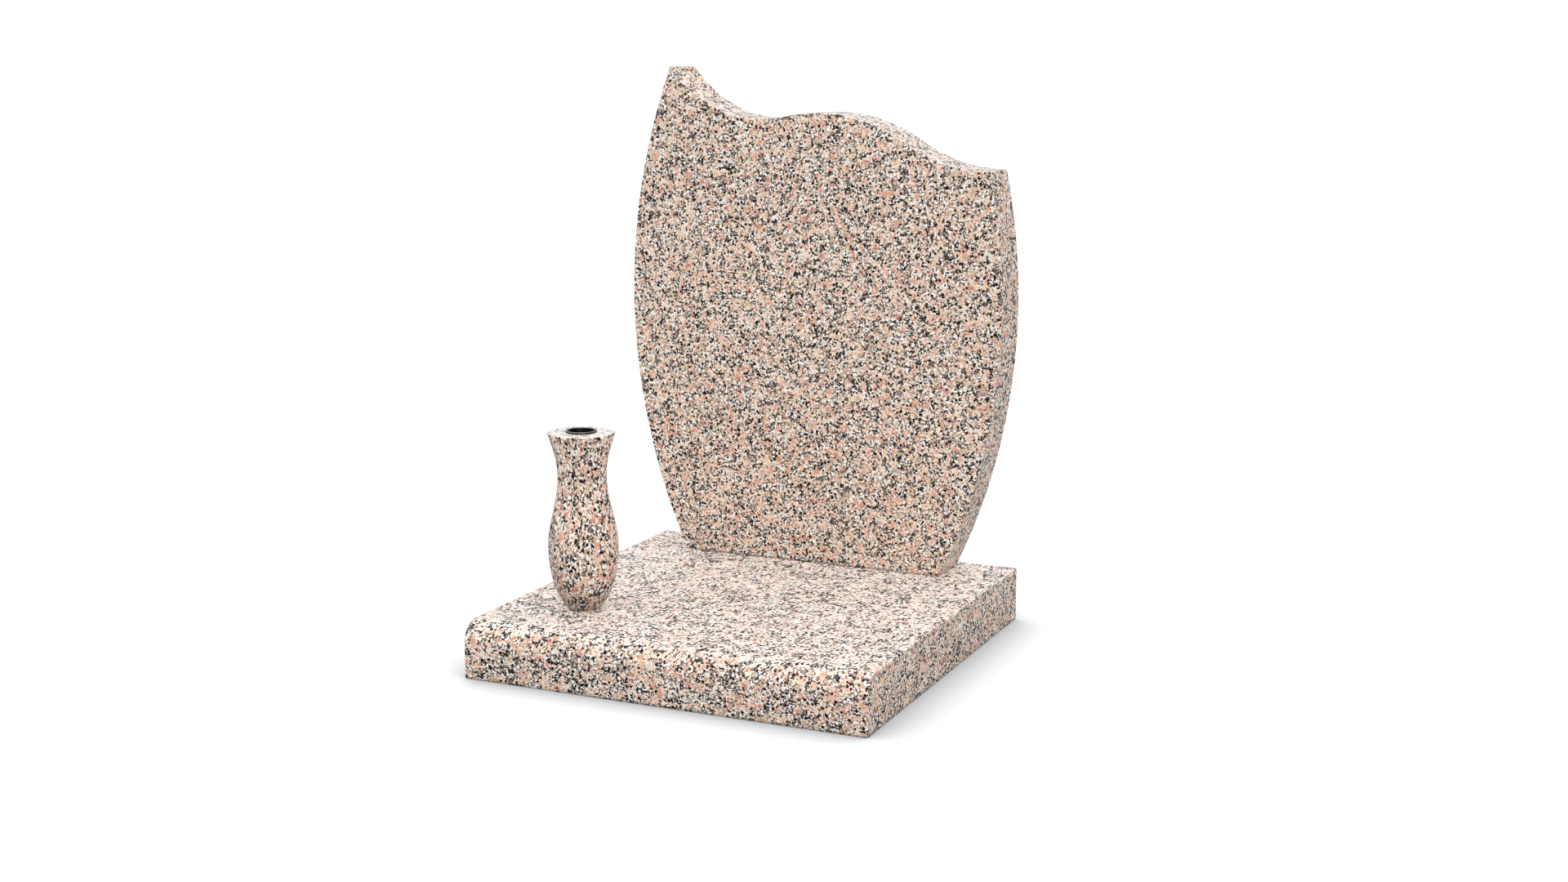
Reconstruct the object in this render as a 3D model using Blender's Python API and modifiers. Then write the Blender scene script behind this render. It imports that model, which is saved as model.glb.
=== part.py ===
"""Grave monument in polished pink granite.

A base slab with a rounded front edge carries an upright headstone with a swept
top, and a turned flower vase with a plastic liner cup. Metres, +Z up. The
origin is the centre of the slab's underside, and the front looks towards -Y.
"""

import math

import bmesh
import bpy

# Base slab
SLAB_WIDTH = 0.600
SLAB_DEPTH = 0.600
SLAB_HEIGHT = 0.080
SLAB_NOSE_RADIUS = 0.030  # rounding along the whole front top edge

# Headstone, measured from its own foot and centre line
STONE_SIDE_SETBACK = 0.0  # its widest place in from the slab's sides, with which it is flush
STONE_THICKNESS = 0.080
STONE_SETBACK = 0.020  # its back face in from the slab's back edge
STONE_WIDEST_HEIGHT = 0.400  # height of the widest place above the foot
STONE_FOOT_INSET = 0.090  # each side comes in by this from the widest place to the foot
PEAK_CUT = 0.0025  # the sharp tip of the left peak is dressed back level by this

# Swept top: a dip, a crest and a tail, three arcs that run into each other
DIP_FROM_LEFT = 0.218  # lowest place of the dip, in from the widest place's left side
DIP_HEIGHT = 0.6713
DIP_RADIUS = 0.182
DIP_STEEPEST = math.radians(60)  # past this slope the dip runs on straight
CREST_RISE = 0.0102  # above the dip
CREST_RADIUS = 0.245
TAIL_DROP = 0.0797  # below the crest
TAIL_RADIUS = 0.238

# Vase, turned
VASE_FROM_LEFT = 0.113  # its centre, in from the slab's left edge
VASE_FROM_FRONT = 0.136  # its centre, in from the slab's front edge
VASE_FOOT_RADIUS = 0.0224
VASE_BELLY_RADIUS = 0.0494
VASE_NECK_RADIUS = 0.0343
VASE_RIM_RADIUS = 0.0476
VASE_FOOT_TO_BELLY = 0.088
VASE_BELLY_TO_NECK = 0.102
VASE_NECK_TO_RIM = 0.062

# Liner cup in the vase
LINER_MOUTH_RADIUS = 0.0185  # inside, at the top
LINER_FLOOR_RADIUS = 0.0150  # inside, at the bottom
LINER_WALL = 0.0015
LINER_DEPTH = 0.140  # from the vase's top to the cup's underside
LINER_LIP_REACH = 0.0020  # the lip stands out past the cup's wall by this
LINER_LIP_HEIGHT = 0.0032  # the lip stands up above the vase's top by this

# Fits
SEAT_GAP = 0.0003  # between a piece and what it stands on
LINER_SIDE_CLEARANCE = 0.0005  # between the cup's wall and the bore
LINER_END_CLEARANCE = 0.005  # between the cup's underside and the bore's floor

# Finish
STONE_ARRIS = 0.0010  # rounding of the slab's and the headstone's edges
VASE_ARRIS = 0.0010
LINER_ARRIS = 0.0005
ARRIS_SEGMENTS = 2
CHORD_ERROR = 0.0001  # most that a chord may leave its arc
VASE_STEPS = 64
VASE_RINGS = 28
LINER_STEPS = 48
WELD_DISTANCE = 0.00001
SHARP_ANGLE = math.radians(30)  # edges that turn further get an arris
LEVEL_ANGLE = math.radians(0.1)  # faces that turn less are one flat face

# Worked out from the sizes above
STONE_WIDTH = SLAB_WIDTH - 2 * STONE_SIDE_SETBACK  # at the widest place
STONE_CENTRE_Y = SLAB_DEPTH / 2 - STONE_SETBACK - STONE_THICKNESS / 2
SIDE_RADIUS = (STONE_WIDEST_HEIGHT ** 2 + STONE_FOOT_INSET ** 2) / (2 * STONE_FOOT_INSET)
VASE_X = VASE_FROM_LEFT - SLAB_WIDTH / 2
VASE_Y = VASE_FROM_FRONT - SLAB_DEPTH / 2
VASE_NECK_HEIGHT = VASE_FOOT_TO_BELLY + VASE_BELLY_TO_NECK
VASE_HEIGHT = VASE_NECK_HEIGHT + VASE_NECK_TO_RIM
LINER_OUTER_RADIUS = LINER_MOUTH_RADIUS + LINER_WALL
BORE_RADIUS = LINER_OUTER_RADIUS + LINER_SIDE_CLEARANCE
BORE_DEPTH = LINER_DEPTH + LINER_END_CLEARANCE

# Mean colours of the granite and of the black plastic, linear
GRANITE_COLOUR = (0.49, 0.39, 0.32, 1.0)
GRANITE_ROUGHNESS = 0.15
PLASTIC_COLOUR = (0.02, 0.021, 0.024, 1.0)
PLASTIC_ROUGHNESS = 0.35


def clear_scene():
    for obj in list(bpy.data.objects):
        bpy.data.objects.remove(obj, do_unlink=True)


def new_collection(name):
    collection = bpy.data.collections.new(name)
    bpy.context.scene.collection.children.link(collection)
    return collection


def plain_material(name, colour, roughness):
    material = bpy.data.materials.new(name)
    material.use_nodes = True
    shader = material.node_tree.nodes["Principled BSDF"]
    shader.inputs["Base Color"].default_value = colour
    shader.inputs["Roughness"].default_value = roughness
    shader.inputs["Metallic"].default_value = 0.0
    return material


def arc(centre, radius, start, end):
    """Points along a circle from one angle to another, both ends included."""
    step = 2 * math.acos(1 - CHORD_ERROR / radius)
    count = max(2, math.ceil(abs(end - start) / step))
    points = []
    for i in range(count + 1):
        angle = start + (end - start) * i / count
        points.append((centre[0] + radius * math.cos(angle), centre[1] + radius * math.sin(angle)))
    return points


def shade(mesh):
    mesh.shade_smooth()
    mesh.set_sharp_from_angle(angle=SHARP_ANGLE)


def add_arris(obj, width):
    """Round the piece's sharp edges."""
    bevel = obj.modifiers.new("arris", "BEVEL")
    bevel.width = width
    bevel.segments = ARRIS_SEGMENTS
    bevel.limit_method = "ANGLE"
    bevel.angle_limit = SHARP_ANGLE


def add_piece(name, mesh, matrix, collection, material, arris):
    obj = bpy.data.objects.new(name, mesh)
    collection.objects.link(obj)
    obj.matrix_world = matrix
    obj.data.materials.clear()
    obj.data.materials.append(material)
    shade(obj.data)
    add_arris(obj, arris)
    return obj


def evaluated_mesh(guide, name):
    """The guide's closed surface as a mesh, welded, with large faces left whole."""
    bpy.context.view_layer.update()
    depsgraph = bpy.context.evaluated_depsgraph_get()
    mesh = bpy.data.meshes.new_from_object(guide.evaluated_get(depsgraph))
    mesh.name = name
    surface = bmesh.new()
    surface.from_mesh(mesh)
    bmesh.ops.remove_doubles(surface, verts=surface.verts, dist=WELD_DISTANCE)
    bmesh.ops.dissolve_limit(
        surface, angle_limit=LEVEL_ANGLE, verts=surface.verts, edges=surface.edges)
    bmesh.ops.recalc_face_normals(surface, faces=surface.faces)
    surface.to_mesh(mesh)
    surface.free()
    return mesh


def make_cut_slab(name, outline, thickness, location, rotation, collection, material):
    """A slab sawn to a flat outline, with its edges rounded."""
    curve = bpy.data.curves.new(name + "_outline", "CURVE")
    curve.dimensions = "2D"
    curve.fill_mode = "BOTH"
    curve.extrude = thickness / 2
    spline = curve.splines.new("POLY")
    spline.points.add(len(outline) - 1)
    for point, (across, up) in zip(spline.points, outline):
        point.co = (across, up, 0.0, 1.0)
    spline.use_cyclic_u = True
    guide = bpy.data.objects.new(name + "_outline", curve)
    collection.objects.link(guide)
    guide.location = location
    guide.rotation_euler = rotation
    mesh = evaluated_mesh(guide, name)
    piece = add_piece(name, mesh, guide.matrix_world, collection, material, STONE_ARRIS)
    bpy.data.objects.remove(guide, do_unlink=True)
    bpy.data.curves.remove(curve)
    return piece


def make_turned(name, profile, steps, location, collection, material, arris):
    """A turned piece. Its profile of (radius, height) starts on the axis, climbs the
    inside, and runs down the outside back to the axis."""
    line = bpy.data.meshes.new(name + "_profile")
    corners = [(radius, 0.0, height) for radius, height in profile]
    edges = [(i, i + 1) for i in range(len(profile) - 1)]
    line.from_pydata(corners, edges, [])
    guide = bpy.data.objects.new(name + "_profile", line)
    collection.objects.link(guide)
    guide.location = location
    screw = guide.modifiers.new("turn", "SCREW")
    screw.axis = "Z"
    screw.angle = 2 * math.pi
    screw.steps = steps
    screw.render_steps = steps
    screw.use_merge_vertices = True
    screw.merge_threshold = WELD_DISTANCE
    mesh = evaluated_mesh(guide, name)
    piece = add_piece(name, mesh, guide.matrix_world, collection, material, arris)
    bpy.data.objects.remove(guide, do_unlink=True)
    bpy.data.meshes.remove(line)
    return piece


def slab_outline():
    """The slab seen from its right side: (towards the back, up)."""
    half = SLAB_DEPTH / 2
    nose = arc((-half + SLAB_NOSE_RADIUS, SLAB_HEIGHT - SLAB_NOSE_RADIUS),
               SLAB_NOSE_RADIUS, math.pi, math.pi / 2)
    return [(-half, 0.0)] + nose + [(half, SLAB_HEIGHT), (half, 0.0)]


def run_between(rise, radius, next_radius):
    """Sideways distance from the lowest place of one arc to the highest of the next,
    where the two meet in line."""
    return math.sqrt(rise * (2 * (radius + next_radius) - rise))


def swept_top():
    """The top edge from left to right, longer than the stone at both ends."""
    dip_x = DIP_FROM_LEFT - STONE_WIDTH / 2
    crest_run = run_between(CREST_RISE, DIP_RADIUS, CREST_RADIUS)
    tail_run = run_between(TAIL_DROP, CREST_RADIUS, TAIL_RADIUS)
    crest_x = dip_x + crest_run
    tail_x = crest_x + tail_run
    crest_height = DIP_HEIGHT + CREST_RISE
    tail_height = crest_height - TAIL_DROP
    climb = math.asin(crest_run / (DIP_RADIUS + CREST_RADIUS))
    fall = math.asin(tail_run / (CREST_RADIUS + TAIL_RADIUS))
    down = -math.pi / 2
    up = math.pi / 2
    dip = arc((dip_x, DIP_HEIGHT + DIP_RADIUS), DIP_RADIUS, down - DIP_STEEPEST, down + climb)
    crest = arc((crest_x, crest_height - CREST_RADIUS), CREST_RADIUS, up + climb, up - fall)
    tail = arc((tail_x, tail_height + TAIL_RADIUS), TAIL_RADIUS, down - fall, down)
    start_x = -STONE_WIDTH
    start_height = dip[0][1] + (dip[0][0] - start_x) * math.tan(DIP_STEEPEST)
    return [(start_x, start_height)] + dip + crest[1:] + tail[1:] + [(STONE_WIDTH, tail_height)]


def height_on(line, x):
    """Height of a left-to-right line of points above x."""
    for (x0, z0), (x1, z1) in zip(line, line[1:]):
        if x0 <= x <= x1:
            return z0 + (z1 - z0) * (x - x0) / (x1 - x0)
    return line[-1][1]


def left_slope_at(line, height):
    """Place where a line of points, followed from the left, first comes down to a height."""
    for (x0, z0), (x1, z1) in zip(line, line[1:]):
        if z0 >= height >= z1:
            return x0 + (x1 - x0) * (z0 - height) / (z0 - z1)
    return line[-1][0]


def side_offset(height):
    """Half of the stone's width at a height: both sides are one arc each."""
    above = height - STONE_WIDEST_HEIGHT
    return STONE_WIDTH / 2 - SIDE_RADIUS + math.sqrt(SIDE_RADIUS ** 2 - above ** 2)


def corner_height(top, side):
    """Height where a side (-1 left, 1 right) meets the top edge, by halving."""
    low = STONE_WIDEST_HEIGHT
    high = STONE_WIDEST_HEIGHT + SIDE_RADIUS
    while high - low > WELD_DISTANCE:
        middle = (low + high) / 2
        if height_on(top, side * side_offset(middle)) > middle:
            low = middle
        else:
            high = middle
    return low


def stone_outline():
    """The headstone seen from the front: (towards the right, up), from the left foot
    up the left side, over the peak's small flat, along the top and down the right side."""
    top = swept_top()
    peak_height = corner_height(top, -1) - PEAK_CUT
    peak_end = left_slope_at(top, peak_height)
    centre_x = SIDE_RADIUS - STONE_WIDTH / 2
    foot_angle = math.asin(STONE_WIDEST_HEIGHT / SIDE_RADIUS)
    peak_angle = math.asin((peak_height - STONE_WIDEST_HEIGHT) / SIDE_RADIUS)
    shoulder_angle = math.asin((corner_height(top, 1) - STONE_WIDEST_HEIGHT) / SIDE_RADIUS)
    left = arc((centre_x, STONE_WIDEST_HEIGHT), SIDE_RADIUS,
               math.pi + foot_angle, math.pi - peak_angle)
    right = arc((-centre_x, STONE_WIDEST_HEIGHT), SIDE_RADIUS, shoulder_angle, -foot_angle)
    room = 2 * STONE_ARRIS
    between = [p for p in top if peak_end + room < p[0] < right[0][0] - room]
    return left + [(peak_end, peak_height)] + between + right


def vase_radius(height):
    """Outer radius at a height above the foot: an ellipse up to the belly, half a cosine
    wave up to the neck, and a quarter of one out to the rim."""
    if height <= VASE_FOOT_TO_BELLY:
        taper = math.sqrt(1 - (VASE_FOOT_RADIUS / VASE_BELLY_RADIUS) ** 2)
        share = (VASE_FOOT_TO_BELLY - height) / VASE_FOOT_TO_BELLY
        return VASE_BELLY_RADIUS * math.sqrt(1 - (share * taper) ** 2)
    if height <= VASE_NECK_HEIGHT:
        share = (height - VASE_FOOT_TO_BELLY) / VASE_BELLY_TO_NECK
        middle = (VASE_BELLY_RADIUS + VASE_NECK_RADIUS) / 2
        swing = (VASE_BELLY_RADIUS - VASE_NECK_RADIUS) / 2
        return middle + swing * math.cos(math.pi * share)
    share = (height - VASE_NECK_HEIGHT) / VASE_NECK_TO_RIM
    flare = VASE_RIM_RADIUS - VASE_NECK_RADIUS
    return VASE_NECK_RADIUS + flare * (1 - math.cos(math.pi / 2 * share))


def vase_profile():
    bore_floor = VASE_HEIGHT - BORE_DEPTH
    inside = [(0.0, bore_floor), (BORE_RADIUS, bore_floor), (BORE_RADIUS, VASE_HEIGHT)]
    outside = []
    for i in range(VASE_RINGS + 1):
        height = VASE_HEIGHT * (1 - i / VASE_RINGS)
        outside.append((vase_radius(height), height))
    return inside + outside + [(0.0, 0.0)]


def liner_profile():
    """The cup, measured from the level of the vase's top."""
    lip_radius = LINER_OUTER_RADIUS + LINER_LIP_REACH
    round_radius = (lip_radius - LINER_MOUTH_RADIUS) / 2
    round_centre = (LINER_MOUTH_RADIUS + round_radius, LINER_LIP_HEIGHT - round_radius)
    lip = arc(round_centre, round_radius, math.pi, 0.0)
    inside = [(0.0, LINER_WALL - LINER_DEPTH), (LINER_FLOOR_RADIUS, LINER_WALL - LINER_DEPTH)]
    outside = [
        (lip_radius, SEAT_GAP),
        (LINER_OUTER_RADIUS, SEAT_GAP),
        (LINER_FLOOR_RADIUS + LINER_WALL, -LINER_DEPTH),
        (0.0, -LINER_DEPTH),
    ]
    return inside + lip + outside


def build():
    clear_scene()
    collection = new_collection("grave_monument")
    frame = bpy.data.objects.new("grave_monument", None)
    collection.objects.link(frame)

    slab = make_cut_slab(
        "base_slab", slab_outline(), SLAB_WIDTH,
        (0.0, 0.0, 0.0), (math.pi / 2, 0.0, math.pi / 2), collection,
        plain_material("base_slab_granite", GRANITE_COLOUR, GRANITE_ROUGHNESS))
    stone = make_cut_slab(
        "headstone", stone_outline(), STONE_THICKNESS,
        (0.0, STONE_CENTRE_Y, SLAB_HEIGHT + SEAT_GAP), (math.pi / 2, 0.0, 0.0), collection,
        plain_material("headstone_granite", GRANITE_COLOUR, GRANITE_ROUGHNESS))
    vase = make_turned(
        "vase", vase_profile(), VASE_STEPS,
        (VASE_X, VASE_Y, SLAB_HEIGHT + SEAT_GAP), collection,
        plain_material("vase_granite", GRANITE_COLOUR, GRANITE_ROUGHNESS), VASE_ARRIS)
    liner = make_turned(
        "vase_insert", liner_profile(), LINER_STEPS,
        (0.0, 0.0, VASE_HEIGHT), collection,
        plain_material("vase_insert_plastic", PLASTIC_COLOUR, PLASTIC_ROUGHNESS), LINER_ARRIS)
    for piece in (slab, stone, vase):
        piece.parent = frame
    liner.parent = vase


build()
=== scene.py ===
import math

import bpy
import numpy as np
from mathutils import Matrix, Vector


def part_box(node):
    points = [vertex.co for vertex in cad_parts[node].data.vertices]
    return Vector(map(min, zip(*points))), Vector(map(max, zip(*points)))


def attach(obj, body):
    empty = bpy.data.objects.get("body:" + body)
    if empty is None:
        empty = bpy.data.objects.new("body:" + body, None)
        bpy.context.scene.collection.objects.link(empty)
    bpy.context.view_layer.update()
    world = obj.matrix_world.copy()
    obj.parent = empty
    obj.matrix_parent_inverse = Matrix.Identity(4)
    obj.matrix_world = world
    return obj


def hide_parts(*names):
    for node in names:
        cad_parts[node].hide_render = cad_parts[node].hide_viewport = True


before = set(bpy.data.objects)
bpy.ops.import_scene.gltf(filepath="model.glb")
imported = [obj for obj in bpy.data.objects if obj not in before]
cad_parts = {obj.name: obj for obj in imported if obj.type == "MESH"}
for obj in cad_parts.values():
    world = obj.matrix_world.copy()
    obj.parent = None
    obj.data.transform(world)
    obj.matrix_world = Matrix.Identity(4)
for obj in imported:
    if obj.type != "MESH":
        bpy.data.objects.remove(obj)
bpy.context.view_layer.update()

scene = bpy.context.scene


# Points (across, up) on a circle, one for each angle in radians.
def circlePoints(centre, radius, angles):
    return np.stack([centre[0] + radius * np.cos(angles),
                     centre[1] + radius * np.sin(angles)], -1)


# Points along a straight line, both ends included.
def linePoints(start, end, count=2):
    share = np.linspace(0.0, 1.0, count)[:, None]
    return (1 - share) * np.array(start) + share * np.array(end)


# Joins runs of points into one outline and rounds the corners between them. At a corner
# both runs stop short by radius * tan(turn / 2), and an arc that touches both of them
# bridges the gap. One more point just before and after each arc keeps the flats flat.
# As many radii as runs close the outline, and one fewer leaves it open.
def joinRuns(runs, radii, support=0.0005, steps=6):
    count = len(runs)
    cuts = np.zeros((count, 2))  # how much each run loses at its start and at its end
    arcs = []
    for k, radius in enumerate(radii):
        following = (k + 1) % count
        corner = runs[k][-1]
        before = corner - runs[k][-2]
        before = before / np.linalg.norm(before)
        after = runs[following][1] - runs[following][0]
        after = after / np.linalg.norm(after)
        turn = math.atan2(before[0] * after[1] - before[1] * after[0], before @ after)
        cut = radius * math.tan(abs(turn) / 2)
        side = math.copysign(1.0, turn) * np.array([-before[1], before[0]])
        centre = corner - before * cut + side * radius
        first = math.atan2(-side[1], -side[0])
        bend = circlePoints(centre, radius, first + turn * np.linspace(0.0, 1.0, steps + 1))
        arcs.append(np.vstack([bend[0] - before * support, bend, bend[-1] + after * support]))
        cuts[k, 1] = cuts[following, 0] = cut + 2 * support
    parts = []
    for k, run in enumerate(runs):
        lengths = np.linalg.norm(np.diff(run, axis=0), axis=1)
        along = np.concatenate([[0.0], np.cumsum(lengths)])
        parts.append(run[(along >= cuts[k, 0]) & (along <= along[-1] - cuts[k, 1])])
        if k < len(arcs):
            parts.append(arcs[k])
    return np.vstack(parts)


# Outward unit normals of a closed outline, square to the line between the neighbours.
def outwardNormals(outline):
    along = np.roll(outline, -1, 0) - np.roll(outline, 1, 0)
    normals = np.stack([along[:, 1], -along[:, 0]], -1)
    after = np.roll(outline, -1, 0)
    area = np.sum(outline[:, 0] * after[:, 1] - outline[:, 1] * after[:, 0])
    return np.sign(area) * normals / np.linalg.norm(normals, axis=1)[:, None]


# Rings of a slab with an outline and rounded edges, as (across, up, depth): flat rings that
# grow from the middle of the near face, a quarter circle round its edge, the flat edge
# face, and the same in reverse on the far face.
def plateRings(outline, thickness, arris, middle, faceShares, depthSteps,
               support=0.0005, arrisSteps=5):
    quarter = np.linspace(0.0, np.pi / 2, arrisSteps)
    inset = np.concatenate([[arris + support], arris * (1 - np.sin(quarter)), [0.0]])
    depth = np.concatenate([[0.0], arris * (1 - np.cos(quarter)), [arris + support]])
    between = np.linspace(depth[-1], thickness - depth[-1], depthSteps)[1:-1]
    inset = np.concatenate([inset, 0 * between, inset[::-1]])
    depth = np.concatenate([depth, between, thickness - depth[::-1]])
    flat = outline[None] - inset[:, None, None] * outwardNormals(outline)[None]
    face = middle + np.array(faceShares)[:, None, None] * (flat[0] - middle)[None]
    rings = np.concatenate([face, flat, face[::-1]])
    depths = np.concatenate([np.zeros(len(face)), depth, np.full(len(face), thickness)])
    depthColumn = np.broadcast_to(depths[:, None, None], rings.shape[:2] + (1,))
    return np.concatenate([rings, depthColumn], -1)


# Rings of a turned piece: each point (radius, height) of the profile goes round the axis.
def turnedRings(profile, centre, steps):
    angles = np.linspace(0.0, 2 * np.pi, steps, endpoint=False)
    return np.stack([centre[0] + profile[:, :1] * np.cos(angles),
                     centre[1] + profile[:, :1] * np.sin(angles),
                     centre[2] + np.repeat(profile[:, 1:], steps, 1)], -1)


# A closed skin over rings of points (ring, point, xyz): four-sided faces between
# neighbouring rings, and a fan from each end point to the ring beside it.
def skinMesh(name, rings, firstPoint, lastPoint):
    ringCount, pointCount = rings.shape[:2]
    coords = np.vstack([rings.reshape(-1, 3), firstPoint, lastPoint])
    here = np.arange(pointCount)
    beside = np.roll(here, -1)
    starts = pointCount * np.arange(ringCount - 1)[:, None]
    quads = np.stack([starts + here, starts + beside, starts + pointCount + beside,
                      starts + pointCount + here], -1).reshape(-1, 4)
    first = np.stack([np.full(pointCount, ringCount * pointCount), beside, here], -1)
    lastStart = (ringCount - 1) * pointCount
    last = np.stack([np.full(pointCount, ringCount * pointCount + 1),
                     lastStart + here, lastStart + beside], -1)
    mesh = bpy.data.meshes.new(name)
    mesh.from_pydata(coords.tolist(), [], quads.tolist() + first.tolist() + last.tolist())
    mesh.shade_smooth()
    mesh.update()
    piece = bpy.data.objects.new(name, mesh)
    scene.collection.objects.link(piece)
    return piece


slabSizes = {
    "noseRadius": 0.030, "corner": 0.0016, "arris": 0.0012,
    "topSteps": 90, "noseSteps": 25, "frontSteps": 12,  # points along the side outline
    "acrossSteps": 90,              # rings from left to right
    "endShares": (0.1, 0.95, 8),    # rings on the end faces: innermost, outermost, how many
}


# Base slab: its side outline, a rectangle whose front top corner is a quarter circle of the
# nose's radius, carried across from left to right.
def makeSlab(s):
    low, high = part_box("base_slab")
    nose = s["noseRadius"]
    noseAngles = np.linspace(np.pi / 2, np.pi, s["noseSteps"])
    runs = [
        linePoints((high.y, low.z), (high.y, high.z)),
        np.vstack([
            linePoints((high.y, high.z), (low.y + nose, high.z), s["topSteps"])[:-1],
            circlePoints((low.y + nose, high.z - nose), nose, noseAngles),
            linePoints((low.y, high.z - nose), (low.y, low.z), s["frontSteps"])[1:],
        ]),
        linePoints((low.y, low.z), (high.y, low.z)),
    ]
    outline = joinRuns(runs, [s["corner"]] * len(runs))
    middle = np.array([0.0, (low.z + high.z) / 2])
    rings = plateRings(outline, high.x - low.x, s["arris"], middle,
                       np.linspace(*s["endShares"]), s["acrossSteps"])
    rings = np.stack([low.x + rings[..., 2], rings[..., 0], rings[..., 1]], -1)
    ends = [(low.x, middle[0], middle[1]), (high.x, middle[0], middle[1])]
    return skinMesh("slabStone", rings, *ends)


slab = makeSlab(slabSizes)
print("slab made")


stoneSizes = {
    "widestHeight": 0.400, "footInset": 0.090,  # both sides are one arc each
    "dipFromLeft": 0.218, "dipHeight": 0.6713, "dipRadius": 0.182, "steepest": math.radians(60),
    "crestRise": 0.0102, "crestRadius": 0.245,
    "tailDrop": 0.0797, "tailRadius": 0.238,
    "corner": 0.0014, "arris": 0.0010,
    "pointStep": 0.004, "leastSteps": 8,    # points along the arcs
    "sweepReach": 0.1, "reachSteps": 26,    # the sweep runs on straight past both ends
    "footSteps": 60,
    "middle": (-0.05, 0.30),                # across and up, where the face's rings start
    "faceShares": (0.06, 0.97, 16),         # innermost, outermost, how many
    "depthSteps": 12,
}


# Angles along an arc, close enough together for the point step.
def arcAngles(s, radius, start, end):
    steps = math.ceil(abs(end - start) * radius / s["pointStep"])
    return np.linspace(start, end, max(s["leastSteps"], steps))


# The swept top from left to right: straight down, a dip, a crest and a tail that run into
# each other, then level. Two arcs that touch are rise and run apart, where
# run squared = rise * (2 * (sum of their radii) - rise).
def sweptTop(s, halfWidth):
    dipAndCrest = s["dipRadius"] + s["crestRadius"]
    crestAndTail = s["crestRadius"] + s["tailRadius"]
    crestRun = math.sqrt(s["crestRise"] * (2 * dipAndCrest - s["crestRise"]))
    tailRun = math.sqrt(s["tailDrop"] * (2 * crestAndTail - s["tailDrop"]))
    dipX = s["dipFromLeft"] - halfWidth
    crestX = dipX + crestRun
    tailX = crestX + tailRun
    crestHeight = s["dipHeight"] + s["crestRise"]
    tailHeight = crestHeight - s["tailDrop"]
    climb = math.asin(crestRun / dipAndCrest)
    fall = math.asin(tailRun / crestAndTail)
    quarter = math.pi / 2
    dip = circlePoints(
        (dipX, s["dipHeight"] + s["dipRadius"]), s["dipRadius"],
        arcAngles(s, s["dipRadius"], -quarter - s["steepest"], -quarter + climb))
    crest = circlePoints(
        (crestX, crestHeight - s["crestRadius"]), s["crestRadius"],
        arcAngles(s, s["crestRadius"], quarter + climb, quarter - fall))
    tail = circlePoints(
        (tailX, tailHeight + s["tailRadius"]), s["tailRadius"],
        arcAngles(s, s["tailRadius"], -quarter - fall, -quarter))
    reach = s["sweepReach"]
    start = dip[0] + reach * np.array([-math.cos(s["steepest"]), math.sin(s["steepest"])])
    end = tail[-1] + np.array([reach, 0.0])
    return np.vstack([linePoints(start, dip[0], s["reachSteps"])[:-1], dip, crest[1:], tail[1:],
                      linePoints(tail[-1], end, s["reachSteps"])[1:]])


# Headstone: its front outline carried from front to back. Each side is an arc that is
# widest at one height and comes in by an inset at the foot, so its radius is
# (height squared + inset squared) / (2 * inset). The swept top closes it.
def makeHeadstone(s):
    low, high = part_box("headstone")
    halfWidth = (high.x - low.x) / 2
    centreX = (high.x + low.x) / 2
    peakHeight = high.z - low.z
    widest = s["widestHeight"]
    radius = (widest ** 2 + s["footInset"] ** 2) / (2 * s["footInset"])
    arcCentre = radius - halfWidth
    top = sweptTop(s, halfWidth)
    # the right side meets the top where the arc's width reaches the top's x
    rightX = halfWidth - radius + np.sqrt(radius ** 2 - (top[:, 1] - widest) ** 2)
    past = np.argmax(top[:, 0] > rightX)
    gap = rightX - top[:, 0]
    share = gap[past - 1] / (gap[past - 1] - gap[past])
    shoulder = top[past - 1] + share * (top[past] - top[past - 1])
    # the top comes down to the peak's level at the right end of its small flat
    under = np.argmax(top[:, 1] < peakHeight)
    drop = top[under - 1, 1] - top[under, 1]
    share = (top[under - 1, 1] - peakHeight) / drop
    peakEnd = top[under - 1] + share * (top[under] - top[under - 1])
    footAngle = math.asin(widest / radius)
    peakAngle = math.asin((peakHeight - widest) / radius)
    shoulderAngle = math.asin((shoulder[1] - widest) / radius)
    left = circlePoints((arcCentre, widest), radius,
                        arcAngles(s, radius, math.pi + footAngle, math.pi - peakAngle))
    right = circlePoints((-arcCentre, widest), radius,
                         arcAngles(s, radius, shoulderAngle, -footAngle))
    runs = [
        left,
        np.vstack([left[-1], peakEnd]),
        np.vstack([peakEnd, top[under:past], shoulder]),
        right,
        linePoints(right[-1], left[0], s["footSteps"]),
    ]
    outline = joinRuns(runs, [s["corner"]] * len(runs))
    middle = np.array(s["middle"])
    rings = plateRings(outline, high.y - low.y, s["arris"], middle,
                       np.linspace(*s["faceShares"]), s["depthSteps"])
    rings = np.stack([centreX + rings[..., 0], low.y + rings[..., 2], low.z + rings[..., 1]], -1)
    ends = [(centreX + middle[0], y, low.z + middle[1]) for y in (low.y, high.y)]
    return skinMesh("headstoneStone", rings, *ends)


headstone = makeHeadstone(stoneSizes)
print("headstone made")


poleRadius = 0.002  # the first and last ring of a turned piece, round its closed ends

vaseSizes = {
    "footRadius": 0.0224, "neckRadius": 0.0343, "rimRadius": 0.0476,
    "footToBelly": 0.088, "bellyToNeck": 0.102,
    "boreRadius": 0.0205, "boreDepth": 0.145,
    "arris": 0.0010, "arrisSteps": 5, "arrisSupport": 0.0004,
    "outsideSteps": 150, "rimSteps": 10, "boreSteps": 40, "floorSteps": 8,
    "steps": 192,  # round the axis
}


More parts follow.
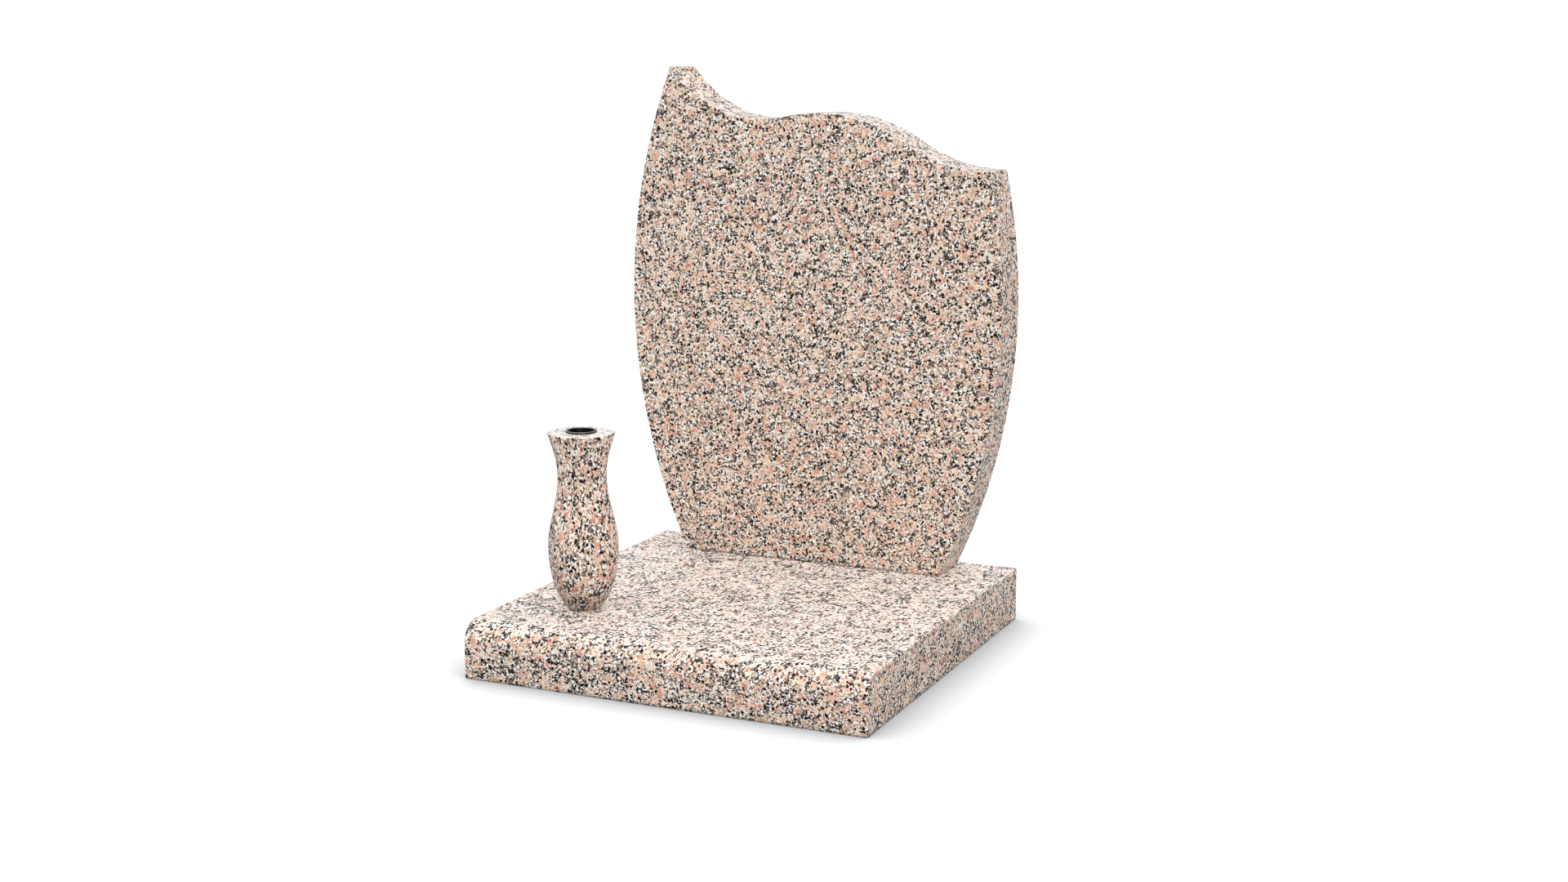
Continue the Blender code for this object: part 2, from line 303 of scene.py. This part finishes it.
# Outer radius at a height: an ellipse up to the belly, half a cosine wave up to the neck,
# and a quarter of one out to the rim.
def vaseRadius(s, height, total, belly):
    neckHeight = s["footToBelly"] + s["bellyToNeck"]
    taper = math.sqrt(1 - (s["footRadius"] / belly) ** 2)
    below = np.clip(1 - height / s["footToBelly"], 0.0, 1.0)
    lower = belly * np.sqrt(1 - (below * taper) ** 2)
    swing = (belly - s["neckRadius"]) / 2
    wave = np.cos(np.pi * (height - s["footToBelly"]) / s["bellyToNeck"])
    middle = (belly + s["neckRadius"]) / 2 + swing * wave
    flare = (height - neckHeight) / (total - neckHeight)
    opening = 1 - np.cos(np.pi / 2 * flare)
    upper = s["neckRadius"] + (s["rimRadius"] - s["neckRadius"]) * opening
    return np.where(height < s["footToBelly"], lower,
                    np.where(height < neckHeight, middle, upper))


# Vase: one profile turned round the upright axis, out under the foot, up the outside, in
# over the rim, down the bore's wall and back in to the axis on its floor.
def makeVase(s):
    low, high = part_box("vase")
    total = high.z - low.z
    belly = (high.x - low.x) / 2
    centre = np.array([(low.x + high.x) / 2, (low.y + high.y) / 2, low.z])
    heights = np.linspace(0.0, total, s["outsideSteps"])
    outside = np.stack([vaseRadius(s, heights, total, belly), heights], -1)
    boreFloor = total - s["boreDepth"]
    bore = s["boreRadius"]
    runs = [
        linePoints((poleRadius, 0.0), outside[0], s["floorSteps"]),
        outside,
        linePoints(outside[-1], (bore, total), s["rimSteps"]),
        linePoints((bore, total), (bore, boreFloor), s["boreSteps"]),
        linePoints((bore, boreFloor), (poleRadius, boreFloor), s["floorSteps"]),
    ]
    profile = joinRuns(runs, [s["arris"]] * (len(runs) - 1), s["arrisSupport"], s["arrisSteps"])
    rings = turnedRings(profile, centre, s["steps"])
    return skinMesh("vaseStone", rings, centre, centre + [0.0, 0.0, boreFloor])


vase = makeVase(vaseSizes)
print("vase made")


cupSizes = {
    "mouthRadius": 0.0185, "floorRadius": 0.0150, "wall": 0.0015,
    "lipReach": 0.0020, "lipHeight": 0.0032, "seatGap": 0.0003,
    "floorEdge": 0.0010, "lipEdge": 0.0004, "insideEdge": 0.0006,
    "edgeSteps": 5, "edgeSupport": 0.0002,
    "floorSteps": 8, "wallSteps": 40, "rollSteps": 20,
    "steps": 144,  # round the axis
}


# Liner cup in the vase: a thin profile turned round the upright axis, out under the floor,
# up the tapered wall to the lip, over the lip's half circle and down the inside.
def makeCup(s):
    low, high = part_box("vase_insert")
    level = high.z - s["lipHeight"]  # the vase's top, which the lip rests on
    centre = np.array([(low.x + high.x) / 2, (low.y + high.y) / 2, level])
    outer = s["mouthRadius"] + s["wall"]
    lip = outer + s["lipReach"]
    roll = (lip - s["mouthRadius"]) / 2
    rollCentre = (s["mouthRadius"] + roll, s["lipHeight"] - roll)
    under = low.z - level
    inside = under + s["wall"]
    rollOver = circlePoints(rollCentre, roll, np.linspace(0.0, np.pi, s["rollSteps"]))
    seat = s["seatGap"]
    foot = s["floorRadius"] + s["wall"]
    runs = [
        linePoints((poleRadius, under), (foot, under), s["floorSteps"]),
        linePoints((foot, under), (outer, seat), s["wallSteps"]),
        linePoints((outer, seat), (lip, seat)),
        np.vstack([[lip, seat], rollOver,
                   linePoints(rollOver[-1], (s["floorRadius"], inside), s["wallSteps"])[1:]]),
        linePoints((s["floorRadius"], inside), (poleRadius, inside), s["floorSteps"]),
    ]
    radii = [s["floorEdge"], s["lipEdge"], s["lipEdge"], s["insideEdge"]]
    profile = joinRuns(runs, radii, s["edgeSupport"], s["edgeSteps"])
    rings = turnedRings(profile, centre, s["steps"])
    return skinMesh("vaseCup", rings, centre + [0.0, 0.0, under], centre + [0.0, 0.0, inside])


cup = makeCup(cupSizes)
print("cup made")


# Adds a node to a tree, with its settings, and links or sets its inputs by name or number.
def addNode(tree, kind, settings=None, inputs=None):
    node = tree.nodes.new(kind)
    for key, value in (settings or {}).items():
        setattr(node, key, value)
    for key, value in (inputs or {}).items():
        if isinstance(value, bpy.types.NodeSocket):
            tree.links.new(value, node.inputs[key])
        else:
            node.inputs[key].default_value = value
    return node


# One step of arithmetic on two values.
def math2(tree, operation, first, second):
    node = addNode(tree, "ShaderNodeMath", {"operation": operation}, {0: first, 1: second})
    return node.outputs[0]


# The second colour laid over the first one by a share from 0 to 1.
def mixColour(tree, share, first, second, blend="MIX"):
    node = addNode(tree, "ShaderNodeMix", {"data_type": "RGBA", "blend_type": blend},
                   {0: share, 6: first, 7: second})
    return node.outputs[2]


# A range of a value stretched over 0 to 1, or over another range, and held inside it.
def stretch(tree, value, low, high, toLow=0.0, toHigh=1.0):
    return addNode(tree, "ShaderNodeMapRange", {"clamp": True},
                   {0: value, 1: low, 2: high, 3: toLow, 4: toHigh}).outputs[0]


# A noise that runs through the whole block.
def noiseOf(tree, vector, values):
    return addNode(tree, "ShaderNodeTexNoise", None, {"Vector": vector, **values}).outputs


# Cells of a 3-D pattern, with a random colour for each one and the distance from its
# middle, or from its border.
def cellsOf(tree, vector, scale, feature="F1"):
    return addNode(tree, "ShaderNodeTexVoronoi", {"feature": feature},
                   {"Vector": vector, "Scale": scale}).outputs


# Three random values out of one colour.
def splitColour(tree, colour):
    return addNode(tree, "ShaderNodeSeparateColor", None, {0: colour}).outputs


# One linear colour from its 0 to 255 screen values.
def screenColour(red, green, blue):
    c = np.array([red, green, blue]) / 255.0
    linear = np.where(c <= 0.04045, c / 12.92, ((c + 0.055) / 1.055) ** 2.4)
    return (*linear.tolist(), 1.0)


# A stepped palette: each colour holds from its place up to the next one's.
def palette(tree, value, stops):
    node = addNode(tree, "ShaderNodeValToRGB", None, {0: value})
    ramp = node.color_ramp
    ramp.interpolation = "CONSTANT"
    while len(ramp.elements) < len(stops):
        ramp.elements.new(1.0)
    for element, (place, colour) in zip(ramp.elements, stops):
        element.position = place
        element.color = screenColour(*colour)
    return node.outputs[0]


graniteLook = {
    "crystalScale": 106.0,  # cells per metre, the large pink and cream crystals
    "grainScale": 296.0,    # cells per metre, the small ones that colour the flecks
    "warp": {"Scale": 230.0, "Detail": 1.0}, "warpReach": 0.0060,  # makes the cells uneven
    "crystals": [
        (0.00, (212, 142, 120)), (0.14, (226, 168, 145)), (0.44, (236, 190, 167)),
        (0.66, (241, 212, 182)), (0.82, (202, 176, 143)), (0.92, (236, 228, 218)),
    ],
    "ripple": {"Scale": 520.0, "Detail": 1.0},  # a pink mottle inside the crystals
    "rippleRange": (0.40, 0.62), "rippleShare": 0.45, "rippleTint": (236, 196, 184),
    "rimRange": (0.02, 0.13), "rimShare": 0.85, "rimColour": (244, 228, 208),
    "cloud": {"Scale": 102.0, "Detail": 2.0, "Roughness": 0.6},  # grainy and even places
    "drift": 0.58,          # how much the cloud moves the flecks' levels
    "patchRange": (0.49, 0.57), "patchShare": 0.80, "patchColour": (150, 131, 118),
    "fleck": {"Scale": 298.0, "Detail": 2.5, "Roughness": 0.65, "Distortion": 0.5},
    "darkAbove": 0.545, "whiteBelow": 0.437, "fleckEdge": 0.008,
    "seamRange": (0.02, 0.10), "seamLift": 0.05,  # dark flecks gather at the crystals' borders
    "haloRange": (0.07, 0.03), "haloShare": 0.6,  # how far below the dark level it lies
    "haloColour": (244, 230, 212),
    "darks": [
        (0.00, (2, 1, 1)), (0.24, (28, 20, 16)), (0.36, (78, 62, 53)),
        (0.56, (116, 97, 85)), (0.80, (140, 120, 107)),
    ],
    "whites": [(0.00, (255, 254, 252)), (0.42, (244, 244, 246)), (0.62, (253, 245, 230))],
    "speckScale": 180.0, "speckShare": 0.26, "speckRadius": 0.37,  # sparse black mica
    "speckEdge": 0.02, "speckColour": (12, 8, 7),
    "raggedWarp": {"Scale": 420.0, "Detail": 1.0}, "raggedReach": 0.0036,
    "roughness": 0.25, "roughnessSpread": 0.10,
    "bumpStrength": 0.02, "bumpDistance": 0.0002, "ior": 1.30,
}


# Granite, laid in this order: large crystals are cells of a warped 3-D cell pattern, each
# with its own colour, mottled by a ripple and with a pale rim at its border. A slow cloud
# noise draws brown-grey patches. A fine noise draws the flecks, dark above one level and
# white below another: the cloud and the crystals' borders raise it for the dark ones, and
# the cloud lowers it for the white ones. A pale halo lies round the dark flecks, and
# sparse black specks are the middles of some cells of a third, ragged pattern.
def graniteGroup(look):
    group = bpy.data.node_groups.new("graniteGrain", "ShaderNodeTree")
    group.interface.new_socket("Vector", in_out="INPUT", socket_type="NodeSocketVector")
    group.interface.new_socket("Color", in_out="OUTPUT", socket_type="NodeSocketColor")
    group.interface.new_socket("Roughness", in_out="OUTPUT", socket_type="NodeSocketFloat")
    group.interface.new_socket("Height", in_out="OUTPUT", socket_type="NodeSocketFloat")
    place = addNode(group, "NodeGroupInput").outputs["Vector"]

    # places moved by a noise, up to half the reach each way
    def warped(noise, reach):
        random = noiseOf(group, place, noise)["Color"]
        shift = addNode(group, "ShaderNodeVectorMath", {"operation": "SUBTRACT"},
                        {0: random, 1: (0.5, 0.5, 0.5)})
        shift = addNode(group, "ShaderNodeVectorMath", {"operation": "SCALE"},
                        {0: shift.outputs[0], "Scale": reach})
        return addNode(group, "ShaderNodeVectorMath", {"operation": "ADD"},
                       {0: place, 1: shift.outputs[0]}).outputs[0]

    bent = warped(look["warp"], look["warpReach"])
    crystalRandom = splitColour(group, cellsOf(group, bent, look["crystalScale"])["Color"])
    border = cellsOf(group, bent, look["crystalScale"], "DISTANCE_TO_EDGE")["Distance"]
    grainRandom = splitColour(group, cellsOf(group, bent, look["grainScale"])["Color"])

    colour = palette(group, crystalRandom[0], look["crystals"])
    ripple = noiseOf(group, bent, look["ripple"])["Fac"]
    mottled = stretch(group, ripple, *look["rippleRange"], 0.0, look["rippleShare"])
    tinted = mixColour(group, 1.0, colour, screenColour(*look["rippleTint"]), "MULTIPLY")
    colour = mixColour(group, mottled, colour, tinted)
    paleRim = stretch(group, border, *look["rimRange"], look["rimShare"], 0.0)
    colour = mixColour(group, paleRim, colour, screenColour(*look["rimColour"]))

    cloud = noiseOf(group, place, look["cloud"])["Fac"]
    drift = math2(group, "MULTIPLY", math2(group, "SUBTRACT", cloud, 0.5), look["drift"])
    fleck = noiseOf(group, place, look["fleck"])["Fac"]
    seam = stretch(group, border, *look["seamRange"], look["seamLift"], 0.0)
    darker = math2(group, "ADD", math2(group, "ADD", fleck, drift), seam)
    paler = math2(group, "SUBTRACT", fleck, drift)

    patch = stretch(group, cloud, *look["patchRange"], 0.0, look["patchShare"])
    colour = mixColour(group, patch, colour, screenColour(*look["patchColour"]))
    haloFrom, haloTo = [look["darkAbove"] - below for below in look["haloRange"]]
    halo = stretch(group, darker, haloFrom, haloTo, 0.0, look["haloShare"])
    colour = mixColour(group, halo, colour, screenColour(*look["haloColour"]))
    edge = look["fleckEdge"]
    isWhite = stretch(group, paler, look["whiteBelow"] + edge, look["whiteBelow"] - edge)
    isDark = stretch(group, darker, look["darkAbove"] - edge, look["darkAbove"] + edge)
    colour = mixColour(group, isWhite, colour, palette(group, grainRandom[0], look["whites"]))
    colour = mixColour(group, isDark, colour, palette(group, grainRandom[1], look["darks"]))

    ragged = warped(look["raggedWarp"], look["raggedReach"])
    speck = cellsOf(group, ragged, look["speckScale"])
    speckRandom = splitColour(group, speck["Color"])
    chosen = math2(group, "LESS_THAN", speckRandom[0], look["speckShare"])
    inside = stretch(group, speck["Distance"], look["speckRadius"] + look["speckEdge"],
                     look["speckRadius"] - look["speckEdge"])
    isSpeck = math2(group, "MULTIPLY", chosen, inside)
    colour = mixColour(group, isSpeck, colour, screenColour(*look["speckColour"]))

    shine = math2(group, "MULTIPLY", grainRandom[2], look["roughnessSpread"])
    roughness = math2(group, "ADD", shine, look["roughness"])
    addNode(group, "NodeGroupOutput", None,
            {"Color": colour, "Roughness": roughness, "Height": grainRandom[2]})
    return group


granite = graniteGroup(graniteLook)


paintedLightAndSawnLook = {
    "sheenGrainsTone": (0.10, 0.45),    # the painted sheen lies on grains that are this light
    "levelFace": (0.75, 0.98),   # and on faces that look up this much
    # the painted sheen's colour: a pale reflection of the sky, painted into the stone's colour
    "paintedSheenColour": (0.95, 0.95, 0.95, 1.0),
    # the painted shade's colour, near black, laid on at each piece's foot
    "paintedShadeColour": (0.02, 0.016, 0.013, 1.0),
    "sawnFace": (-0.93, -0.98),  # undersides, which look down
    "sawnShare": 0.45, "sawnColour": (196, 184, 174), "sawnRoughness": 0.5,
}


# Painted light on the stone, and its sawn finish: a painted sheen, the pale reflection of the
# sky, on faces that look up, on the light grains alone or with the dark ones covered too; painted
# shade at the foot that darkens towards the ground; and dull sawn undersides.
def paintedLightAndSawnGroup(look):
    group = bpy.data.node_groups.new("stonePaintedLightAndSawn", "ShaderNodeTree")
    for name in ("Color", "Roughness", "Above Foot", "Painted Sheen", "Painted Sheen Cover", "Painted Shade", "Painted Shade Height"):
        kind = "NodeSocketColor" if name == "Color" else "NodeSocketFloat"
        group.interface.new_socket(name, in_out="INPUT", socket_type=kind)
    group.interface.new_socket("Color", in_out="OUTPUT", socket_type="NodeSocketColor")
    group.interface.new_socket("Roughness", in_out="OUTPUT", socket_type="NodeSocketFloat")
    given = addNode(group, "NodeGroupInput").outputs
    facing = addNode(group, "ShaderNodeNewGeometry").outputs["Normal"]
    upward = addNode(group, "ShaderNodeSeparateXYZ", None, {0: facing}).outputs["Z"]
    tone = addNode(group, "ShaderNodeRGBToBW", None, {0: given["Color"]}).outputs[0]
    # painted sheen: the sky's pale reflection painted on the light grains, or on all of them, of
    # faces that look up
    sheenGrains = stretch(group, tone, *look["sheenGrainsTone"])
    sheenGrains = math2(group, "MAXIMUM", sheenGrains, given["Painted Sheen Cover"])
    level = math2(group, "MULTIPLY", stretch(group, upward, *look["levelFace"]), given["Painted Sheen"])
    paintedSheen = math2(group, "MULTIPLY", level, sheenGrains)
    colour = mixColour(group, paintedSheen, given["Color"], look["paintedSheenColour"])
    # painted shade at the foot: darkest at the underside, gone at the given height
    share = math2(group, "DIVIDE", given["Above Foot"], given["Painted Shade Height"])
    paintedShade = math2(group, "MULTIPLY", stretch(group, share, 1.0, 0.0), given["Painted Shade"])
    colour = mixColour(group, paintedShade, colour, look["paintedShadeColour"])
    sawn = stretch(group, upward, *look["sawnFace"])
    colour = mixColour(group, math2(group, "MULTIPLY", sawn, look["sawnShare"]), colour,
                       screenColour(*look["sawnColour"]))
    dull = math2(group, "MULTIPLY", sawn, look["sawnRoughness"])
    roughness = math2(group, "ADD", given["Roughness"], dull)
    addNode(group, "NodeGroupOutput", None, {"Color": colour, "Roughness": roughness})
    return group


paintedLightAndSawn = paintedLightAndSawnGroup(paintedLightAndSawnLook)


# Polished granite on one piece: cut from its own place and turn in the block, its grains
# scaled across, from front to back and up, with a painted sheen on faces that look up and
# painted shade at its foot. The foot is the height of the piece's underside.
def graniteMaterial(name, cut, foot, paintedLight):
    material = bpy.data.materials.new(name)
    material.use_nodes = True
    tree = material.node_tree
    shader = tree.nodes["Principled BSDF"]
    coords = addNode(tree, "ShaderNodeTexCoord").outputs["Object"]
    placed = addNode(tree, "ShaderNodeMapping", None, {"Vector": coords, **cut})
    stone = addNode(tree, "ShaderNodeGroup", {"node_tree": granite},
                    {"Vector": placed.outputs[0]}).outputs
    bump = addNode(tree, "ShaderNodeBump", None,
                   {"Strength": graniteLook["bumpStrength"],
                    "Distance": graniteLook["bumpDistance"], "Height": stone["Height"]})
    height = addNode(tree, "ShaderNodeSeparateXYZ", None, {0: coords}).outputs["Z"]
    # painted sheen and painted shade are laid into the colour here, with the sawn undersides
    paintedAndSawn = addNode(tree, "ShaderNodeGroup", {"node_tree": paintedLightAndSawn},
                   {"Color": stone["Color"], "Roughness": stone["Roughness"],
                    "Above Foot": math2(tree, "SUBTRACT", height, foot), **paintedLight}).outputs
    tree.links.new(paintedAndSawn["Color"], shader.inputs["Base Color"])
    tree.links.new(paintedAndSawn["Roughness"], shader.inputs["Roughness"])
    tree.links.new(bump.outputs[0], shader.inputs["Normal"])
    shader.inputs["IOR"].default_value = graniteLook["ior"]
    return material


plasticLook = {
    "cloud": {"Scale": 90.0, "Detail": 3.0},
    "dark": (10, 10, 12), "light": (24, 25, 28),
    "cloudRange": (0.3, 0.7), "roughness": (0.18, 0.28),
    "crestHighlightRange": (0.0012, 0.0003),  # how far below the lip's crest the painted highlight lies
    "crestHighlightShare": 0.75, "crestHighlightColour": (112, 114, 118),
    "grain": {"Scale": 2500.0, "Detail": 1.0},
    "bumpStrength": 0.05, "bumpDistance": 0.0002, "ior": 1.5,
}


# Satin black moulding: a faint cloud in the colour and the gloss, a fine grained bump, and
# a painted highlight that turns the lip's crest light grey.
def plasticMaterial(look, crest):
    material = bpy.data.materials.new("cupPlastic")
    material.use_nodes = True
    tree = material.node_tree
    shader = tree.nodes["Principled BSDF"]
    coords = addNode(tree, "ShaderNodeTexCoord").outputs["Object"]
    cloud = noiseOf(tree, coords, look["cloud"])["Fac"]
    grain = noiseOf(tree, coords, look["grain"])["Fac"]
    colour = mixColour(tree, cloud, screenColour(*look["dark"]), screenColour(*look["light"]))
    height = addNode(tree, "ShaderNodeSeparateXYZ", None, {0: coords}).outputs["Z"]
    # painted highlight: light grey laid along the top of the lip's crest
    highlightFrom, highlightTo = [crest - below for below in look["crestHighlightRange"]]
    crestHighlight = stretch(tree, height, highlightFrom, highlightTo, 0.0, look["crestHighlightShare"])
    colour = mixColour(tree, crestHighlight, colour, screenColour(*look["crestHighlightColour"]))
    roughness = stretch(tree, cloud, *look["cloudRange"], *look["roughness"])
    bump = addNode(tree, "ShaderNodeBump", None,
                   {"Strength": look["bumpStrength"], "Distance": look["bumpDistance"],
                    "Height": grain})
    tree.links.new(colour, shader.inputs["Base Color"])
    tree.links.new(roughness, shader.inputs["Roughness"])
    tree.links.new(bump.outputs[0], shader.inputs["Normal"])
    shader.inputs["IOR"].default_value = look["ior"]
    return material


# where in the block each stone is cut, and the painted light on it: a painted sheen on faces that
# look up and painted shade at its foot
slabFinish = {"Location": (0.83, 0.17, 0.05), "Rotation": (0.0, 0.0, 0.0),
              "Scale": (0.88, 0.78, 1.02)}
headstoneFinish = {"Location": (1.37, 0.42, 0.90), "Rotation": (0.4, 0.2, 0.1),
                   "Scale": (1.0, 0.72, 1.0)}
vaseFinish = {"Location": (6.38, 0.77, 1.86), "Rotation": (0.3, 0.5, 0.8),
              "Scale": (1.10, 0.92, 0.74)}
# painted light on each piece: the strength of the painted sheen on faces that look up, how far it
# covers the dark grains, and the painted shade at the foot and how high it reaches
stonePaintedLight = {"Painted Sheen": 0.38, "Painted Sheen Cover": 0.0, "Painted Shade": 0.6, "Painted Shade Height": 0.005}
vasePaintedLight = {"Painted Sheen": 0.64, "Painted Sheen Cover": 0.45, "Painted Shade": 0.52, "Painted Shade Height": 0.060}
groundHeight = 0.0
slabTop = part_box("headstone")[0].z
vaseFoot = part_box("vase")[0].z
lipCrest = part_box("vase_insert")[1].z

pieces = [
    (slab, "base_slab", "granite",
     graniteMaterial("slabGranite", slabFinish, groundHeight, stonePaintedLight)),
    (headstone, "headstone", "granite",
     graniteMaterial("headstoneGranite", headstoneFinish, slabTop, stonePaintedLight)),
    (vase, "vase", "granite",
     graniteMaterial("vaseGranite", vaseFinish, vaseFoot, vasePaintedLight)),
    (cup, "vase_insert", "black_plastic", plasticMaterial(plasticLook, lipCrest)),
]
for piece, node, slot, material in pieces:
    piece.data.materials.append(material)
    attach(piece, "root")
    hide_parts(node)
print("materials set")


studio = {
    "floorSize": 60.0, "floorTint": (0.975, 0.988, 1.008),
    "floorWhite": 0.86, "floorGlow": 0.53, "floorMirrored": 0.22,  # shown, as it lights, mirrored
    "shadeReach": 0.11, "shadeSamples": 8,  # the floor's shade close to the stone
    "shadeRange": (0.45, 0.965), "shadeDarkest": 0.52,
    "horizon": 0.75, "zenith": 1.20,        # strength of the sky light
    "rightAxis": (0.96, 0.28, 0.0), "rightRange": (0.1, 0.95),
    "rightDim": 0.11, "rightMirroredDim": 0.66,  # how much weaker it is on the right
    "behindAxis": (-0.40, 0.89, 0.22), "behindRange": (0.75, 0.95),
    "behindDim": 0.25,                      # and low behind
    "backdrop": 1.05,
    "lamps": {  # strength, spread and turn in degrees
        "overhead": (1.18, 30.0, (-4.0, -6.0, 0.0)),
        "fill": (0.63, 40.0, (72.0, 0.0, 46.0)),
    },
}


# A pale floor that darkens where the stone stands close above or beside it.
def makeFloor():
    half = studio["floorSize"] / 2
    corners = [(-half, -half, 0.0), (half, -half, 0.0), (half, half, 0.0), (-half, half, 0.0)]
    mesh = bpy.data.meshes.new("floor")
    mesh.from_pydata(corners, [], [(0, 1, 2, 3)])
    floor = bpy.data.objects.new("floor", mesh)
    scene.collection.objects.link(floor)
    material = bpy.data.materials.new("floorPaper")
    material.use_nodes = True
    tree = material.node_tree
    shader = tree.nodes["Principled BSDF"]
    path = addNode(tree, "ShaderNodeLightPath").outputs
    white = stretch(tree, path["Is Glossy Ray"], 0.0, 1.0,
                    studio["floorGlow"], studio["floorMirrored"])
    shown = math2(tree, "MULTIPLY", path["Is Camera Ray"], studio["floorWhite"])
    white = math2(tree, "MAXIMUM", white, shown)
    white = addNode(tree, "ShaderNodeVectorMath", {"operation": "SCALE"},
                    {0: studio["floorTint"], "Scale": white}).outputs[0]
    near = addNode(tree, "ShaderNodeAmbientOcclusion", {"samples": studio["shadeSamples"]},
                   {"Distance": studio["shadeReach"]})
    openness = stretch(tree, near.outputs["AO"], *studio["shadeRange"],
                       studio["shadeDarkest"], 1.0)
    colour = mixColour(tree, openness, (0.0, 0.0, 0.0, 1.0), white)
    tree.links.new(colour, shader.inputs["Base Color"])
    shader.inputs["Roughness"].default_value = 1.0
    shader.inputs["Specular IOR Level"].default_value = 0.0
    mesh.materials.append(material)


# A lamp like the sun, which casts no shadow: its strength, its spread and its turn in degrees.
def makeLamp(name, energy, spread, turn):
    lamp = bpy.data.lights.new(name, "SUN")
    lamp.energy = energy
    lamp.angle = math.radians(spread)
    lamp.use_shadow = False
    carrier = bpy.data.objects.new(name, lamp)
    carrier.rotation_euler = [math.radians(angle) for angle in turn]
    scene.collection.objects.link(carrier)


# White light from all round: strongest from above, weaker from the right and from low
# behind, which is what the polished top mirrors. The backdrop itself shows pure white.
def makeLight():
    world = bpy.data.worlds.new("softStudio")
    world.use_nodes = True
    scene.world = world
    tree = world.node_tree
    background = tree.nodes["Background"]
    direction = addNode(tree, "ShaderNodeTexCoord").outputs["Generated"]

    def towards(axis, low, high):
        dot = addNode(tree, "ShaderNodeVectorMath", {"operation": "DOT_PRODUCT"},
                      {0: direction, 1: axis})
        return stretch(tree, dot.outputs["Value"], low, high)

    upward = towards((0.0, 0.0, 1.0), 0.0, 1.0)
    right = towards(studio["rightAxis"], *studio["rightRange"])
    behind = towards(studio["behindAxis"], *studio["behindRange"])
    gain = math2(tree, "MULTIPLY", upward, studio["zenith"] - studio["horizon"])
    sky = math2(tree, "ADD", gain, studio["horizon"])
    path = addNode(tree, "ShaderNodeLightPath").outputs
    rightDim = stretch(tree, path["Is Glossy Ray"], 0.0, 1.0,
                       studio["rightDim"], studio["rightMirroredDim"])
    sky = math2(tree, "SUBTRACT", sky, math2(tree, "MULTIPLY", right, rightDim))
    sky = math2(tree, "SUBTRACT", sky, math2(tree, "MULTIPLY", behind, studio["behindDim"]))
    shown = math2(tree, "MULTIPLY", path["Is Camera Ray"], studio["backdrop"])
    tree.links.new(math2(tree, "MAXIMUM", sky, shown), background.inputs["Strength"])
    background.inputs["Color"].default_value = (1.0, 1.0, 1.0, 1.0)
    for name, (energy, spread, turn) in studio["lamps"].items():
        makeLamp(name, energy, spread, turn)
    scene.view_settings.view_transform = "Standard"
    scene.view_settings.look = "None"


photoView = {
    "place": (1.2150171, -2.5661031, 0.8590558),
    "turn": (78.96733, 0.0, 24.45971),  # degrees
    "sensor": 36.0, "lens": 46.565,     # millimetres
}


# The camera at the photograph's viewpoint, solved from the slab's and the headstone's edges.
def makeCamera(view):
    data = bpy.data.cameras.new("photoView")
    data.sensor_width = view["sensor"]
    data.lens = view["lens"]
    camera = bpy.data.objects.new("photoView", data)
    camera.location = view["place"]
    camera.rotation_euler = [math.radians(angle) for angle in view["turn"]]
    scene.collection.objects.link(camera)
    scene.camera = camera


makeFloor()
makeLight()
makeCamera(photoView)
print("studio set")
